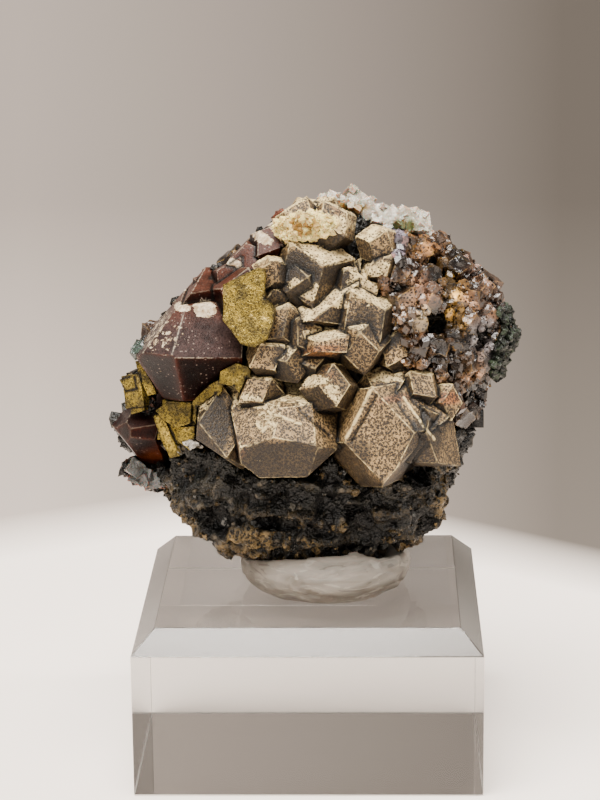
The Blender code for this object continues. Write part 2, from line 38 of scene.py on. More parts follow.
CAMERA_AT = (9.5, -387.9, 154.3)
CAMERA_PITCH = 14.66
CAMERA_YAW = 1.60
CAMERA_ROLL = -0.59
CAMERA_FOCAL_PIXELS = 2681
FRAME_SIZE = (600, 800)
SENSOR = 36.0

# The pixel of a place that looks away from the camera.
OUT_OF_FRAME = (-999, -999)

# How near each other, in metres, two corners are joined.
JOIN_REACH = 2e-6

# Bends in degrees: up to the first, two triangles are one flat face, and over the second, the edge between
# two faces is sharp.
FLAT_BEND = 0.6
SHARP_BEND = 14

# The distance from an edge, in millimetres, and from a drawn line, in pixels, that is stored as 1.
EDGE_REACH = 2.0
STROKE_REACH = 8.0

# Multipliers that scatter a cell's whole numbers.
SCATTER = (374761393, 668265263, 974634777, 1274126177)


# Camera

def camera_axes():
    """The camera's right, up and forward directions."""
    pitch, yaw, roll = (math.radians(angle) for angle in (CAMERA_PITCH, CAMERA_YAW, CAMERA_ROLL))
    level_share = math.cos(pitch)
    forward = np.array([-math.sin(yaw) * level_share, math.cos(yaw) * level_share, -math.sin(pitch)])
    level = np.array([math.cos(yaw), math.sin(yaw), 0.0])
    upright = np.cross(level, forward)
    right = level * math.cos(roll) + upright * math.sin(roll)
    up = upright * math.cos(roll) - level * math.sin(roll)
    return right, up, forward


def pixels(points):
    """Where points appear in the photograph's frame."""
    right, up, forward = camera_axes()
    seen = points - np.array(CAMERA_AT)
    depth = seen @ forward
    across = FRAME_SIZE[0] / 2 + CAMERA_FOCAL_PIXELS * (seen @ right) / depth
    down = FRAME_SIZE[1] / 2 - CAMERA_FOCAL_PIXELS * (seen @ up) / depth
    return np.stack([across, down], 1)


def add_camera():
    right, up, forward = camera_axes()
    data = bpy.data.cameras.new("camera")
    data.sensor_fit = "VERTICAL"
    data.sensor_height = SENSOR
    data.lens = CAMERA_FOCAL_PIXELS / FRAME_SIZE[1] * SENSOR
    data.clip_start = 0.01
    camera = bpy.data.objects.new("camera", data)
    turn = Matrix((right, up, -forward)).transposed().to_4x4()
    camera.matrix_world = Matrix.Translation(Vector(CAMERA_AT) * MM) @ turn
    bpy.context.scene.collection.objects.link(camera)
    bpy.context.scene.camera = camera


# Noise, masks and colours

def noise_at(points, size, seed):
    """Smooth noise between -1 and 1, with features of about that size."""
    place = points / size + seed * 19.7
    cell = np.floor(place).astype(np.int64)
    part = place - cell
    part = part * part * (3 - 2 * part)
    total = np.zeros(len(points))
    for corner in np.ndindex(2, 2, 2):
        x, y, z = (cell[:, axis] + corner[axis] for axis in range(3))
        key = x * SCATTER[0] + y * SCATTER[1] + z * SCATTER[2]
        key = (key ^ (key >> 13)) * SCATTER[3] & 0xFFFFFFFF
        key = (key ^ (key >> 16)) & 0xFFFF
        weight = np.ones(len(points))
        for axis in range(3):
            weight = weight * (part[:, axis] if corner[axis] else 1 - part[:, axis])
        total += weight * key
    return total / 32767.5 - 1


def layered(points, size, seed, octaves=3):
    """Noise with finer noise on it."""
    total = np.zeros(len(points))
    reach = 0
    for octave in range(octaves):
        total += noise_at(points, size / 2 ** octave, seed + octave) / 2 ** octave
        reach += 1 / 2 ** octave
    return total / reach


def ridged(points, size, seed):
    """Noise with sharp crests, at most 1."""
    return 1 - 2 * np.abs(noise_at(points, size, seed)) * 1.6


def smooth_step(low, high, values):
    share = np.clip((values - low) / (high - low), 0, 1)
    return share * share * (3 - 2 * share)


def patches(spots, table, soft=0.35):
    """How far pixels lie inside any of the slanted ellipses.

    Each row: across, down, half width, half height, tilt, strength.
    """
    result = np.zeros(len(spots))
    for across, down, half_width, half_height, tilt, strength in table:
        angle = math.radians(tilt)
        dx = spots[:, 0] - across
        dy = spots[:, 1] - down
        along = (dx * math.cos(angle) - dy * math.sin(angle)) / half_width
        aside = (dx * math.sin(angle) + dy * math.cos(angle)) / half_height
        inside = 1 - smooth_step(1 - soft, 1 + soft, np.hypot(along, aside))
        result = np.maximum(result, inside * strength)
    return result


def line_distance(spots, table):
    """How many pixels away the nearest line lies, each from one pixel to another."""
    nearest = np.full(len(spots), 1e6)
    for x0, y0, x1, y1 in table:
        start, run = np.array([x0, y0]), np.array([x1 - x0, y1 - y0])
        share = np.clip((spots - start) @ run / (run @ run), 0, 1)
        nearest = np.minimum(nearest, np.linalg.norm(spots - start - share[:, None] * run, axis=1))
    return nearest


def evenly(count, colour):
    """The same colour for every one of so many points."""
    return np.tile(np.array(colour, float), (count, 1))


def varied(chance, count, colour, low, high):
    """The colour for each of so many grains, made darker or lighter by a random factor."""
    return evenly(count, colour) * chance.uniform(low, high, (count, 1))


def blend(base, colour, share):
    """Colours moved towards one colour, each by its own share of 0 to 1."""
    share = np.asarray(share, float)[:, None]
    return base * (1 - share) + np.array(colour, float) * share


def tint_by(spots, base, table):
    """Blend colours into a base by a table of an ellipse and a colour."""
    for ellipse, colour in table:
        base = blend(base, colour, patches(spots, [ellipse], 0.4))
    return base


def paint(obj, name, values):
    """Store a colour for every vertex."""
    values = np.asarray(values, float)
    colours = np.ones((len(values), 4))
    colours[:, :3] = values
    layer = obj.data.color_attributes.new(name, "FLOAT_COLOR", "POINT")
    layer.data.foreach_set("color", colours.ravel())


# Meshes

class Skin:
    """A fine mesh over a node of the part, with what its relief and colours are chosen by.

    points: millimetres; normal: of the flat face below; lot: a number between 0 and 1 that is the same
    all over one flat face; ridge and valley: millimetres to the nearest sharp edge of that kind;
    drawn: the distance to the nearest drawn line, in STROKE_REACH; valleys: a tree of spots along the
    hollow edges; spots: pixels of the photograph's frame.
    """

    def __init__(self, node, name, cell, sharp=True):
        self.node = node
        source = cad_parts[node].data.copy()
        bm = bmesh.new()
        bm.from_mesh(source)
        bmesh.ops.remove_doubles(bm, verts=bm.verts[:], dist=JOIN_REACH)
        bm.to_mesh(source)
        self.obj = self.remesh(source, name, cell, sharp)
        bmesh.ops.dissolve_limit(bm, angle_limit=math.radians(FLAT_BEND), verts=bm.verts[:],
                                 edges=bm.edges[:])
        bm.normal_update()
        bm.faces.ensure_lookup_table()
        self.read()
        self.measure(bm)
        bm.free()

    @staticmethod
    def remesh(source, name, cell, sharp):
        """An even mesh with that many millimetres between its vertices, with or without sharp edges."""
        obj = bpy.data.objects.new(name, source)
        bpy.context.scene.collection.objects.link(obj)
        step = obj.modifiers.new("fine", "REMESH")
        if sharp:
            longest = max(obj.dimensions) / MM
            depth = math.ceil(math.log2(longest / cell / 0.9))
            step.mode = "SHARP"
            step.octree_depth = depth
            step.scale = longest / cell / 2 ** depth
            step.use_remove_disconnected = False
        else:
            step.mode = "VOXEL"
            step.voxel_size = cell * MM
        graph = bpy.context.evaluated_depsgraph_get()
        fine = bpy.data.meshes.new_from_object(obj.evaluated_get(graph))
        obj.modifiers.clear()
        obj.data = fine
        fine.materials.clear()
        return obj

    def read(self):
        mesh = self.obj.data
        flat = np.zeros(len(mesh.vertices) * 3)
        mesh.vertices.foreach_get("co", flat)
        self.points = flat.reshape(-1, 3) / MM
        self.spots = pixels(self.points)

    @staticmethod
    def edge_tree(edges):
        """A tree of spots along the edges, about 0.2 mm apart."""
        spots = []
        for edge in edges:
            a, b = (vert.co for vert in edge.verts)
            count = max(2, int((a - b).length / (0.2 * MM)))
            spots += [a.lerp(b, share / (count - 1)) for share in range(count)]
        tree = KDTree(max(1, len(spots)))
        for index, spot in enumerate(spots or [Vector((9, 9, 9))]):
            tree.insert(spot, index)
        tree.balance()
        return tree

    def measure(self, bm):
        faces = BVHTree.FromBMesh(bm)
        chance = np.random.default_rng(len(bm.faces))
        lots = chance.random(len(bm.faces))
        normals = np.array([face.normal for face in bm.faces])
        bends = [(edge, edge.calc_face_angle_signed(0.0)) for edge in bm.edges]
        ridges = self.edge_tree([edge for edge, bend in bends if bend > math.radians(SHARP_BEND)])
        self.valleys = self.edge_tree([edge for edge, bend in bends if bend < -math.radians(SHARP_BEND)])
        count = len(self.points)
        self.normal = np.zeros((count, 3))
        self.lot = np.zeros(count)
        self.ridge = np.zeros(count)
        self.valley = np.zeros(count)
        for index, vert in enumerate(self.obj.data.vertices):
            face = faces.find_nearest(vert.co)[2]
            self.normal[index] = normals[face]
            self.lot[index] = lots[face]
            self.ridge[index] = ridges.find(vert.co)[2] / MM
            self.valley[index] = self.valleys.find(vert.co)[2] / MM
        self.up = self.normal[:, 2]
        self.drawn = np.ones(count)
        self.spots[self.normal @ -camera_axes()[2] < -0.1] = OUT_OF_FRAME

    def push(self, distance, along=None):
        """Move each vertex by millimetres along its face's normal, or along another direction."""
        self.points = self.points + (self.normal if along is None else along) * distance[:, None]
        self.obj.data.vertices.foreach_set("co", (self.points * MM).ravel())
        self.obj.data.update()

    def vertex_normals(self):
        flat = np.zeros(len(self.points) * 3)
        self.obj.data.vertices.foreach_get("normal", flat)
        return flat.reshape(-1, 3)

    def finish(self, material, tint, marks, crisp=32):
        """Paint the mesh, give it its material and shading, and put it in place of its node.

        crisp: the bend in degrees from which edges are shaded sharp, or 0 for a mesh without drawn edges.
        """
        distances = np.stack([self.ridge / EDGE_REACH, self.valley / EDGE_REACH, self.drawn], 1)
        paint(self.obj, "tint", tint)
        paint(self.obj, "marks", marks)
        paint(self.obj, "edges", np.clip(distances, 0, 1) if crisp else np.ones_like(distances))
        self.obj.data.materials.append(material)
        self.obj.data.shade_smooth()
        if crisp:
            self.obj.data.set_sharp_from_angle(angle=math.radians(crisp))
        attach(self.obj, "root")
        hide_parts(self.node)


CUBE_CORNERS = [(x, y, z) for x in (-1, 1) for y in (-1, 1) for z in (-1, 1)]
AXIS_CORNERS = [tuple(2 * sign * (axis == place) for place in range(3))
                for axis in range(3) for sign in (-1, 1)]
GRAIN_CORNERS = {
    "dodecahedron": CUBE_CORNERS + AXIS_CORNERS,
    "cube": CUBE_CORNERS,
    "chip": [(0.9, 0.1, 0.2), (-0.8, 0.5, -0.1), (-0.5, -0.8, 0.3), (0.4, -0.7, -0.5), (0.3, 0.9, -0.4),
             (-0.2, 0.2, 1.0), (0.5, -0.3, 0.8), (-0.1, -0.1, -0.9), (0.6, 0.6, 0.6)],
}


def grain_template(kind):
    """Corners and triangles of one small grain, about one unit in radius."""
    bm = bmesh.new()
    for corner in GRAIN_CORNERS[kind]:
        bm.verts.new(corner)
    hull = bmesh.ops.convex_hull(bm, input=bm.verts[:])
    bmesh.ops.delete(bm, geom=list(set(hull["geom_interior"]) - {None}), context="VERTS")
    bmesh.ops.dissolve_limit(bm, angle_limit=0.01, verts=bm.verts[:], edges=bm.edges[:])
    bmesh.ops.triangulate(bm, faces=bm.faces[:])
    bmesh.ops.recalc_face_normals(bm, faces=bm.faces[:])
    bm.verts.index_update()
    corners = np.array([vert.co for vert in bm.verts])
    faces = np.array([[vert.index for vert in face.verts] for face in bm.faces])
    bm.free()
    return corners / np.linalg.norm(corners, axis=1).mean(), faces


def surface_spots(node, count, seed):
    """Random places on a node's surface, with their normals, spread by area."""
    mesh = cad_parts[node].data
    mesh.calc_loop_triangles()
    places = [vert.co for vert in mesh.vertices]
    triangles = [[places[index] for index in triangle.vertices] for triangle in mesh.loop_triangles]
    corners = np.array(triangles) / MM
    cross = np.cross(corners[:, 1] - corners[:, 0], corners[:, 2] - corners[:, 0])
    area = np.linalg.norm(cross, axis=1)
    chance = np.random.default_rng(seed)
    picked = chance.choice(len(corners), count, p=area / area.sum())
    share = chance.random((count, 2))
    over = share.sum(1) > 1
    share[over] = 1 - share[over]
    a, b, c = corners[picked, 0], corners[picked, 1], corners[picked, 2]
    spots = a + (b - a) * share[:, :1] + (c - a) * share[:, 1:]
    normals = cross[picked] / np.maximum(area[picked], 1e-12)[:, None]
    return spots, normals


def spots_on(nodes, count, seed):
    """Random places on several nodes with their normals, the same number on each node."""
    found = [surface_spots(node, count, seed + index) for index, node in enumerate(nodes)]
    return [np.concatenate(arrays) for arrays in zip(*found)]


def front_spots(nodes, most, tries, seed, table, facing=0.0):
    """Up to so many places on the nodes' front, inside ellipses of the photograph's frame.

    tries: how many are thrown on each node; facing: how much their normals turn to the camera, at least.
    """
    spots, normals = spots_on(nodes, tries, seed)
    chance = np.random.default_rng(seed)
    inside = patches(pixels(spots), table) > chance.random(len(spots))
    kept = inside & (normals @ -camera_axes()[2] > facing)
    return spots[kept][:most], normals[kept][:most]


def random_turns(count, chance):
    """Rotation matrices spread evenly over all directions."""
    quaternion = chance.normal(size=(count, 4))
    w, x, y, z = (quaternion / np.linalg.norm(quaternion, axis=1)[:, None]).T
    rows = [[1 - 2 * (y * y + z * z), 2 * (x * y - z * w), 2 * (x * z + y * w)],
            [2 * (x * y + z * w), 1 - 2 * (x * x + z * z), 2 * (y * z - x * w)],
            [2 * (x * z - y * w), 2 * (y * z + x * w), 1 - 2 * (x * x + y * y)]]
    return np.moveaxis(np.array(rows), 2, 0)


def grains(name, kind, spots, sizes, tints, seed, material, stretch):
    """One mesh of many small grains: a place, a radius in millimetres and a colour for each.

    stretch: how much longer or shorter, at most, a grain is in each direction.
    """
    chance = np.random.default_rng(seed)
    corners, faces = grain_template(kind)
    count = len(spots)
    turns = random_turns(count, chance)
    uneven = 1 + stretch * chance.uniform(-1, 1, (count, 1, 3))
    local = corners[None] * uneven * np.asarray(sizes)[:, None, None]
    placed = np.einsum("nij,nkj->nki", turns, local) + spots[:, None]
    mesh = bpy.data.meshes.new(name)
    index = faces[None] + (np.arange(count) * len(corners))[:, None, None]
    mesh.vertices.add(count * len(corners))
    mesh.vertices.foreach_set("co", (placed * MM).ravel())
    mesh.loops.add(index.size)
    mesh.loops.foreach_set("vertex_index", index.ravel())
    mesh.polygons.add(count * len(faces))
    mesh.polygons.foreach_set("loop_start", np.arange(0, index.size, 3))
    mesh.polygons.foreach_set("loop_total", np.full(count * len(faces), 3))
    mesh.update(calc_edges=True)
    mesh.shade_flat()
    obj = bpy.data.objects.new(name, mesh)
    bpy.context.scene.collection.objects.link(obj)
    paint(obj, "tint", np.repeat(tints, len(corners), 0))
    paint(obj, "marks", np.zeros((count * len(corners), 3)))
    paint(obj, "edges", np.ones((count * len(corners), 3)))
    mesh.materials.append(material)
    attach(obj, "root")


# Materials

class Graph:
    """A material with one Principled shader, and short calls for the nodes before it."""

    def __init__(self, name, **sockets):
        self.material = bpy.data.materials.new(name)
        self.material.use_nodes = True
        self.nodes = self.material.node_tree.nodes
        self.links = self.material.node_tree.links
        self.shader = self.nodes["Principled BSDF"]
        self.place = self.nodes.new("ShaderNodeTexCoord").outputs["Object"]
        for socket, value in sockets.items():
            self.shader.inputs[socket.replace("_", " ")].default_value = value

    def put(self, socket, value):
        """Link a socket to another, or set it to a number or a colour."""
        if isinstance(value, bpy.types.NodeSocket):
            self.links.new(value, socket)
        elif hasattr(value, "__len__") and len(value) == 3:
            socket.default_value = (*value, 1.0)
        else:
            socket.default_value = value

    def attribute(self, name):
        node = self.nodes.new("ShaderNodeAttribute")
        node.attribute_name = name
        return node.outputs["Color"]

    def split(self, colour):
        node = self.nodes.new("ShaderNodeSeparateColor")
        self.put(node.inputs[0], colour)
        return node.outputs

    def noise(self, size, detail=2.0, roughness=0.55, stretch=None, distortion=0.0):
        """Noise with features of about that many millimetres."""
        node = self.nodes.new("ShaderNodeTexNoise")
        node.inputs["Scale"].default_value = 1 / (size * MM)
        node.inputs["Detail"].default_value = detail
        node.inputs["Roughness"].default_value = roughness
        node.inputs["Distortion"].default_value = distortion
        place = self.place
        if stretch:
            mapping = self.nodes.new("ShaderNodeMapping")
            mapping.inputs["Scale"].default_value = stretch
            self.links.new(place, mapping.inputs["Vector"])
            place = mapping.outputs["Vector"]
        self.links.new(place, node.inputs["Vector"])
        return node.outputs["Fac"]

    def dots(self, size, reach):
        """1 in the middle of dots that stand about that many millimetres apart, and 0 between them."""
        node = self.nodes.new("ShaderNodeTexVoronoi")
        node.inputs["Scale"].default_value = 1 / (size * MM)
        self.links.new(self.place, node.inputs["Vector"])
        return self.step(node.outputs["Distance"], reach + 0.06, reach - 0.06)

    def math(self, operation, a, b):
        node = self.nodes.new("ShaderNodeMath")
        node.operation = operation
        self.put(node.inputs[0], a)
        self.put(node.inputs[1], b)
        return node.outputs[0]

    def add(self, *values):
        total = values[0]
        for value in values[1:]:
            total = self.math("ADD", total, value)
        return total

    def times(self, a, b):
        return self.math("MULTIPLY", a, b)

    def step(self, value, low, high):
        """0 at low and 1 at high, and level beyond them."""
        node = self.nodes.new("ShaderNodeMapRange")
        self.put(node.inputs["Value"], value)
        node.inputs["From Min"].default_value = low
        node.inputs["From Max"].default_value = high
        return node.outputs["Result"]

    def mix(self, share, a, b, kind="MIX"):
        node = self.nodes.new("ShaderNodeMix")
        node.data_type = "RGBA"
        node.blend_type = kind
        node.clamp_factor = True
        self.put(node.inputs["Factor"], share)
        self.put(node.inputs[6], a)
        self.put(node.inputs[7], b)
        return node.outputs[2]

    def bump(self, height, distance, strength=1.0):
        """Relief of about that many millimetres."""
        node = self.nodes.new("ShaderNodeBump")
        node.inputs["Strength"].default_value = strength
        node.inputs["Distance"].default_value = distance * MM
        self.put(node.inputs["Height"], height)
        return node.outputs["Normal"]

    def finish(self, colour=None, roughness=None, normal=None):
        for name, value in (("Base Color", colour), ("Roughness", roughness), ("Normal", normal)):
            if value is not None:
                self.put(self.shader.inputs[name], value)
        return self.material


# Black painted into valleys and gaps as shade, and into dark dirt and cracks.
SHADE_AND_DIRT_BLACK = (0.004, 0.0035, 0.003)


def speckled(name, speck, share, size=0.5, crust=((0.52, 0.43, 0.27), (0.24, 0.18, 0.10)), crust_share=0.25,
             fleck=None, fleck_share=0.1, roughness=0.5, relief=0.06, mottle=0.5, strength=0.95, **sockets):
    """Mineral with dark specks and pale flecks over its painted tint, and crust where marks' red is high.

    marks: red is crust, green is how strongly the sharp edges get a pale painted highlight, blue is painted
    shade in hollows and gaps, and dark dirt. edges: red and green are the distances to the nearest ridge
    and valley, blue is the distance to the nearest drawn line.
    """
    g = Graph(name, **sockets)
    marks = g.split(g.attribute("marks"))
    fine = g.noise(size, 2.0, 0.6)
    tiny = g.noise(size * 0.5, 1.0, 0.5)
    grain = g.add(g.times(fine, 0.55), g.times(tiny, 0.45))
    broad = g.noise(2.6, 4.0, 0.6)
    tone = g.mix(g.step(broad, 0.34, 0.66), (1 - mottle,) * 3, (1 + mottle * 0.7,) * 3)
    base = g.mix(1.0, g.attribute("tint"), tone, "MULTIPLY")
    specks = g.times(g.dots(size, share), g.step(tiny, 0.36, 0.44))
    base = g.mix(g.times(specks, strength), base, speck)
    if fleck:
        base = g.mix(g.times(g.dots(size * 2.3, fleck_share), g.step(broad, 0.45, 0.55)), base, fleck)
    ragged = g.times(g.add(g.noise(0.9, 4.0, 0.7), -0.5), 2.2)
    crusted = g.step(g.add(marks[0], ragged), 0.44, 0.54)
    crust_tone = g.mix(g.step(g.noise(0.8, 3.0, 0.6), 0.38, 0.62), crust[0], crust[1])
    crust_tone = g.mix(g.times(g.dots(size * 1.15, crust_share), 0.93), crust_tone, speck)
    colour = g.mix(crusted, base, crust_tone)
    edges = g.split(g.attribute("edges"))
    # Pale sharp edges and drawn lines in the crust colour: a painted highlight.
    rim = g.math("MAXIMUM", g.times(g.step(edges[0], 0.09, 0.04), marks[1]), g.step(edges[2], 0.24, 0.1))
    rim = g.times(rim, g.step(g.noise(0.7, 2.0, 0.6), 0.36, 0.5))
    colour = g.mix(g.times(rim, 0.85), colour, crust[0])
    # Valleys, and places where marks' blue is high, are painted black: painted shade, and dark dirt.
    shade_and_dirt = g.math("MAXIMUM", marks[2], g.step(edges[1], 0.22, 0.06))
    colour = g.mix(g.times(shade_and_dirt, 0.97), colour, SHADE_AND_DIRT_BLACK)
    rough = g.add(g.times(tiny, 0.3), g.times(crusted, 0.2), roughness - 0.15)
    height = g.add(g.times(grain, -1.0), g.times(crusted, 0.8))
    return g.finish(colour, rough, g.bump(height, relief * 4, 0.8))


def calcite_material():
    g = Graph("calcite", Roughness=0.25, IOR=1.6, Subsurface_Weight=0.5, Subsurface_Scale=0.0015)
    cloud = g.noise(1.0, 3.0, 0.6)
    shade = g.mix(g.step(cloud, 0.36, 0.62), (1, 1, 1), (0.55, 0.5, 0.44))
    colour = g.mix(1.0, g.attribute("tint"), shade, "MULTIPLY")
    return g.finish(colour, None, g.bump(g.noise(0.35, 3.0, 0.6), 0.16, 0.8))


def putty_material():
    g = Graph("putty", Roughness=0.6, Subsurface_Weight=0.1, Subsurface_Scale=0.001)
    swirl = g.noise(8.0, 3.0, 0.5, stretch=(0.8, 0.8, 2.4), distortion=1.6)
    colour = g.mix(g.step(swirl, 0.40, 0.60), (0.24, 0.21, 0.175), (0.155, 0.132, 0.106))
    streak = g.noise(4.5, 3.0, 0.5, stretch=(0.6, 0.6, 3.0), distortion=2.4)
    colour = g.mix(g.times(g.step(streak, 0.62, 0.65), 0.45), colour, (0.05, 0.042, 0.034))
    colour = g.mix(g.times(g.step(streak, 0.42, 0.36), 0.6), colour, (0.33, 0.30, 0.25))
    return g.finish(colour, None, g.bump(swirl, 0.6, 0.6))


def acrylic_graph(name, roughness, transmission=1.0, colour=(0.97, 0.965, 0.96, 1)):
    """Clear plastic that takes a little of the light on its way through."""
    g = Graph(name, Roughness=roughness, IOR=1.49, Transmission_Weight=transmission, Base_Color=colour)
    inside = g.nodes.new("ShaderNodeVolumeAbsorption")
    inside.inputs["Color"].default_value = (0.30, 0.27, 0.24, 1)
    inside.inputs["Density"].default_value = 15
    g.links.new(inside.outputs[0], g.nodes["Material Output"].inputs["Volume"])
    return g


def acrylic_material():
    return acrylic_graph("acrylic", 0.01).finish()


def acrylic_cut_material():
    """The chamfer, with the cutter's fine ribs."""
    g = acrylic_graph("acrylic_cut", 0.25, 0.7, (0.46, 0.425, 0.39, 1))
    ribs = g.noise(0.45, 2.0, 0.6, stretch=(2.0, 2.0, 0.05))
    return g.finish(normal=g.bump(ribs, 0.09, 0.7))


def acrylic_edge_material():
    """The sawn lower edges, which scatter the light."""
    g = acrylic_graph("acrylic_edge", 0.5, 0.25, (0.85, 0.82, 0.78, 1))
    return g.finish(normal=g.bump(g.noise(0.2, 2.0), 0.05, 0.5))


def scene_materials():
    return {
        "tan": speckled("garnet_tan", (0.009, 0.006, 0.004), 0.60, size=0.36, crust_share=0.36,
                        mottle=0.35, crust=((0.58, 0.45, 0.22), (0.30, 0.21, 0.10)),
                        Specular_IOR_Level=0.3),
        "dark": speckled("garnet_dark", (0.002, 0.001, 0.001), 0.45, size=0.3, strength=0.5,
                         crust=((0.55, 0.46, 0.33), (0.26, 0.18, 0.10)), crust_share=0.2,
                         fleck=(0.16, 0.12, 0.10), fleck_share=0.16, roughness=0.34, relief=0.02,
                         Specular_IOR_Level=0.1),
        "druse": speckled("garnet_druse", (0.006, 0.004, 0.003), 0.4, roughness=0.2, relief=0.03,
                          mottle=0.7, crust=((0.42, 0.25, 0.06), (0.2, 0.1, 0.025)),
                          Specular_IOR_Level=0.55),
        "rock": speckled("rock", (0.002, 0.002, 0.0015), 0.5, size=0.7, roughness=0.33, relief=0.16,
                         mottle=0.85, crust=((0.16, 0.11, 0.05), (0.05, 0.032, 0.014)),
                         fleck=(0.08, 0.065, 0.045), fleck_share=0.22, Specular_IOR_Level=0.25),
        "pyrite": speckled("pyrite", (0.02, 0.014, 0.003), 0.45, size=0.4, roughness=0.45, relief=0.12,
                           strength=0.75, crust=((0.6, 0.57, 0.52), (0.2, 0.18, 0.15)), Metallic=0.75),
        "crust": speckled("pale_crust", (0.12, 0.07, 0.025), 0.25, size=0.45, roughness=0.6, relief=0.05,
                          mottle=0.3, Subsurface_Weight=0.2, Subsurface_Scale=0.0008),
        "calcite": calcite_material(),
        "putty": putty_material(),
        "acrylic": acrylic_material(),
        "acrylic_cut": acrylic_cut_material(),
        "acrylic_edge": acrylic_edge_material(),
    }


# Block and putty

# How far the block's edges are broken, in millimetres.
BLOCK_EDGE = 0.12

# The area in square millimetres that a slanted face of the block has at least if it is a chamfer.
CHAMFER_AREA = 20


def clear_block(materials):
    """The block with its edges just broken, so that they catch the light."""
    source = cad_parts["acrylic_block"].data.copy()
    source.materials.clear()
    bm = bmesh.new()
    bm.from_mesh(source)
    bmesh.ops.remove_doubles(bm, verts=bm.verts[:], dist=JOIN_REACH)
    bmesh.ops.dissolve_limit(bm, angle_limit=0.02, verts=bm.verts[:], edges=bm.edges[:])
    bmesh.ops.bevel(bm, geom=bm.edges[:], offset=BLOCK_EDGE * MM, segments=2, profile=0.6, affect="EDGES")
    bm.normal_update()
    for face in bm.faces:
        slanted = 0.3 < face.normal.z < 0.95 and face.calc_area() > CHAMFER_AREA * MM * MM
        low = max(vert.co.z for vert in face.verts) < 2 * BLOCK_EDGE * MM
        sawn = low and abs(face.normal.z) < 0.99
        face.material_index = 1 if slanted else 2 if sawn else 0
    bm.to_mesh(source)
    bm.free()
    for name in ("acrylic", "acrylic_cut", "acrylic_edge"):
        source.materials.append(materials[name])
    obj = bpy.data.objects.new("clear_block", source)
    bpy.context.scene.collection.objects.link(obj)
    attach(obj, "root")
    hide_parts("acrylic_block")


def putty_pad(materials):
    skin = Skin("mounting_putty", "putty_pad", 0.4, sharp=False)
    normal = skin.vertex_normals()
    stretched = skin.points * np.array([0.8, 0.8, 2.4])
    fold = layered(stretched, 6.0, 3)
    crease = -0.4 * np.exp(-np.abs(fold) / 0.04)
    skin.push(crease + 0.24 * layered(stretched, 2.6, 8) - 0.05, normal)
    blank = np.zeros((len(skin.points), 3))
    skin.finish(materials["putty"], blank, blank, crisp=0)


# Rock

ROCK_BLACK = (0.006, 0.006, 0.0045)
ROCK_WORN = (0.032, 0.025, 0.015)
ROCK_OCHRE = (0.16, 0.105, 0.040)

# Where the rock is ochre apart from its lower rim.
ROCK_RIM = [(452, 500, 16, 44, 20, 0.9)]

# Colours of the loose grit: most of it, then brown, grey and pale chips, and ochre at the lower rim.
GRIT_BLACK = (0.007, 0.007, 0.005)
GRIT_BROWN = (0.06, 0.04, 0.016)
GRIT_GREY = (0.045, 0.048, 0.046)
GRIT_PALE = (0.13, 0.125, 0.115)
GRIT_OCHRE = (0.19, 0.125, 0.05)

# Heights in millimetres: above the first there is no ochre rim, and below the second it is full.
RIM_HEIGHTS = (42.0, 33.0)


def rock_lift(points):
    """How far the rock's ledges stand out and its cavities go in, in millimetres."""
    flat = points * np.array([1, 1, 1.25])
    ledges = 1.1 * ridged(flat, 5.5, 1) + 0.8 * ridged(points, 2.6, 4)
    cavities = -2.6 * smooth_step(0.05, 0.36, layered(flat, 4.4, 9, 2))
    return np.clip(0.7 * ledges + cavities - 0.3, -3.0, 0.9)


def rock(materials):
    skin = Skin("matrix", "rock", 0.36, sharp=False)
    normal = skin.vertex_normals()
    p = skin.points
    lift = rock_lift(p)
    skin.push(lift + 0.4 * ridged(p, 1.5, 5) + 0.25 * layered(p, 0.8, 6, 2) - 0.2, normal)
    high = smooth_step(-0.6, 0.7, lift + 0.4 * layered(p, 1.0, 8, 2))
    rim = smooth_step(*RIM_HEIGHTS, p[:, 2] + 3.4 * noise_at(p, 5, 4))
    rim = np.maximum(rim, patches(skin.spots, ROCK_RIM))
    tint = evenly(len(p), ROCK_BLACK)
    tint = blend(tint, ROCK_WORN, high * smooth_step(-0.3, 0.4, layered(p, 4, 12)))
    tint = blend(tint, ROCK_OCHRE, rim * high * smooth_step(-0.5, 0.1, layered(p, 2.5, 15)))
    marks = np.zeros((len(p), 3))
    marks[:, 0] = 0.55 * rim * high * smooth_step(-0.1, 0.4, layered(p, 3.0, 20))
    # Painted shade in the deep cavities.
    marks[:, 2] = 0.95 * smooth_step(-0.3, -1.2, lift)
    skin.finish(materials["rock"], tint, marks, crisp=0)
    rock_grit(materials)


def rock_grit(materials):
    spots, normals = surface_spots("matrix", 5200, 4)
    chance = np.random.default_rng(8)
    sizes = 0.22 + 0.7 * chance.random(len(spots)) ** 3
    lift = rock_lift(spots)
    spots = spots + normals * (lift - 0.5 * sizes)[:, None]
    shade = chance.random(len(spots))
    tints = evenly(len(spots), GRIT_BLACK) * (0.5 + shade)[:, None]
    tints = blend(tints, GRIT_BROWN, shade > 0.78)
    tints = blend(tints, GRIT_GREY, (shade > 0.5) & (shade < 0.56))
    tints = blend(tints, GRIT_PALE, shade < 0.05)
    low = smooth_step(*RIM_HEIGHTS, spots[:, 2]) * (chance.random(len(spots)) > 0.4) * (lift > -0.6)
    tints = blend(tints, GRIT_OCHRE, low * chance.uniform(0.3, 1.0, len(spots)))
    grains("rock_grit", "chip", spots, sizes, tints, 5, materials["rock"], 0.45)


# Tan garnets. Their tables, like those further on, have ellipses in the form that patches takes.

TAN = (0.31, 0.20, 0.086)
TAN_BROWN = (0.13, 0.05, 0.015)

# Pale crust on the tan crystals.
TAN_CRUST = [
    (268, 418, 15, 16, 20, 0.5),
    (298, 380, 30, 8, -3, 1.0),
    (255, 402, 16, 6, -30, 0.8),
    (318, 294, 32, 9, -22, 1.0),
    (376, 282, 27, 22, 0, 1.0),
    (330, 250, 30, 13, -10, 1.0),
    (318, 335, 18, 6, 0, 0.9),
    (390, 376, 20, 6, 8, 0.9),
    (334, 394, 9, 12, 50, 0.7),
    (312, 230, 44, 14, 10, 0.9),
]

